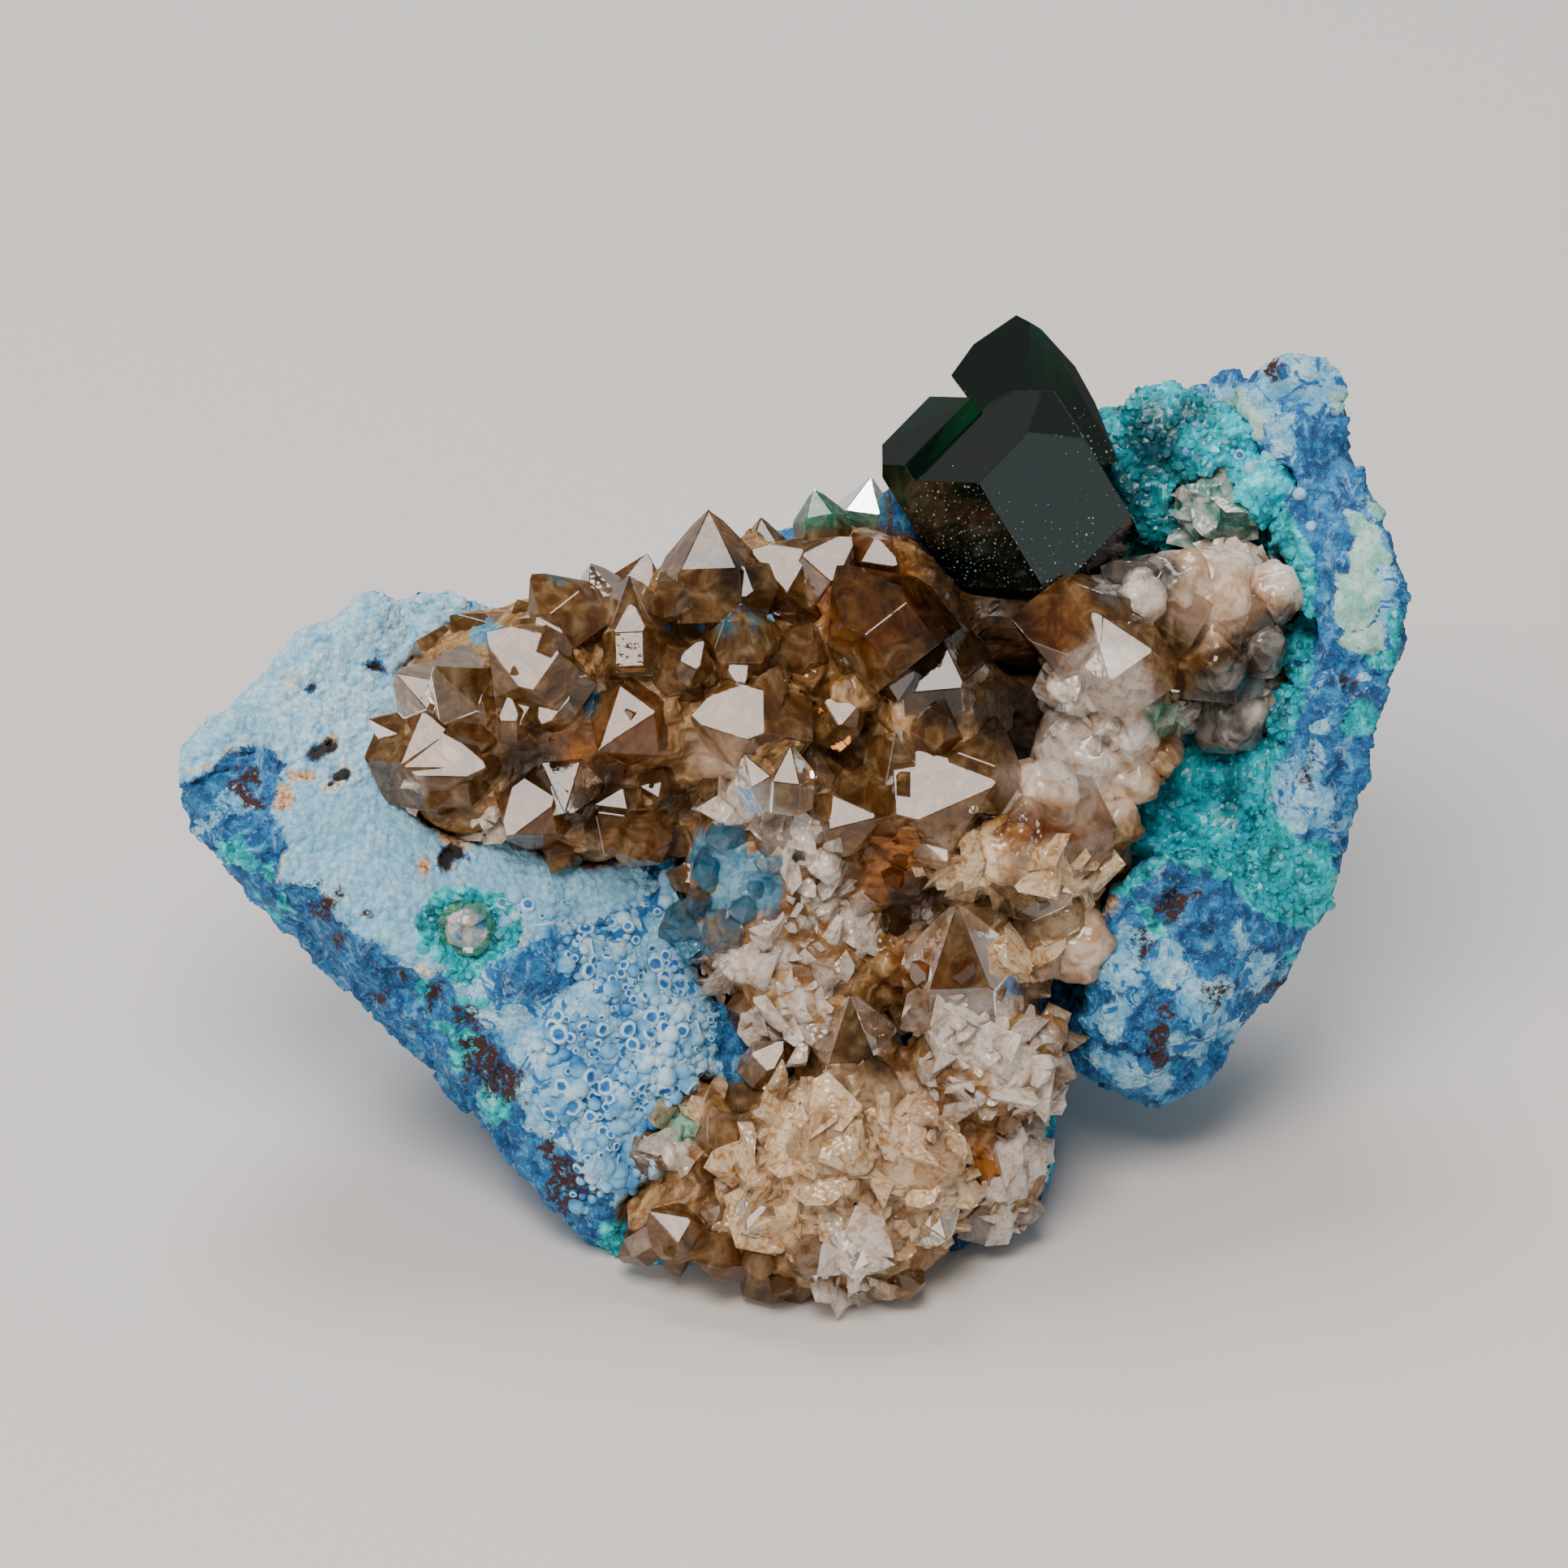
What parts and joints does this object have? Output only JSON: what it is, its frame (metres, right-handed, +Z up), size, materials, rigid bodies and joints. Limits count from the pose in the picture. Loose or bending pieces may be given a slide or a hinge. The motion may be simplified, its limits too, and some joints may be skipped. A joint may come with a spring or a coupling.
{
  "type": "dioptase and smoky quartz on shattuckite",
  "caption": "Mineral specimen: dark green dioptase and brown smoky quartz points grown in the hollow of a broken blue shattuckite rock.",
  "frame": {"origin": "middle of the flat facet underneath, on which the rock stands", "axes": "+X to the right as the viewer sees the good face, +Y away from the viewer, +Z up"},
  "size_m": [0.0759, 0.0459, 0.0493],
  "materials": {
    "shattuckite": "matte",
    "smoky_quartz": "gloss",
    "clear_quartz": "gloss",
    "dioptase": "gloss",
    "teal_druse": "satin"
  },
  "bodies": {
    "root": {"shattuckite_matrix": "shattuckite", "smoky_quartz_cluster": "smoky_quartz", "dioptase_crystals": "dioptase", "dioptase_druse": "teal_druse", "dioptase_druse_upper": "teal_druse", "clear_quartz_lump": "clear_quartz", "rimmed_quartz_bead": "clear_quartz"}
  },
  "joints": []
}
